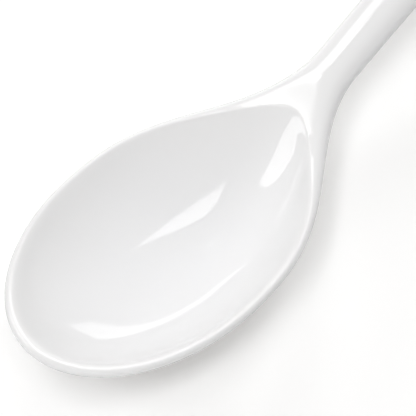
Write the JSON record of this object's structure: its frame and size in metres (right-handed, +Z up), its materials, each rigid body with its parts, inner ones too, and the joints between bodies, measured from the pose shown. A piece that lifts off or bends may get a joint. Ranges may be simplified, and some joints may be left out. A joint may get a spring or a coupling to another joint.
{
  "type": "porcelain spoon",
  "caption": "Glossy white porcelain serving spoon with an oval bowl, a rounded lip and an arched handle that rests on the table.",
  "frame": {"origin": "middle of the flat foot under the bowl, in the plane of the table", "axes": "+X along the spoon from the foot to the end of the handle, +Y across the spoon, +Z up out of the hollow of the bowl"},
  "size_m": [0.237, 0.06, 0.0246],
  "materials": {
    "glazed_porcelain": "gloss"
  },
  "bodies": {
    "root": {"bowl": "glazed_porcelain", "handle": "glazed_porcelain"}
  },
  "joints": []
}
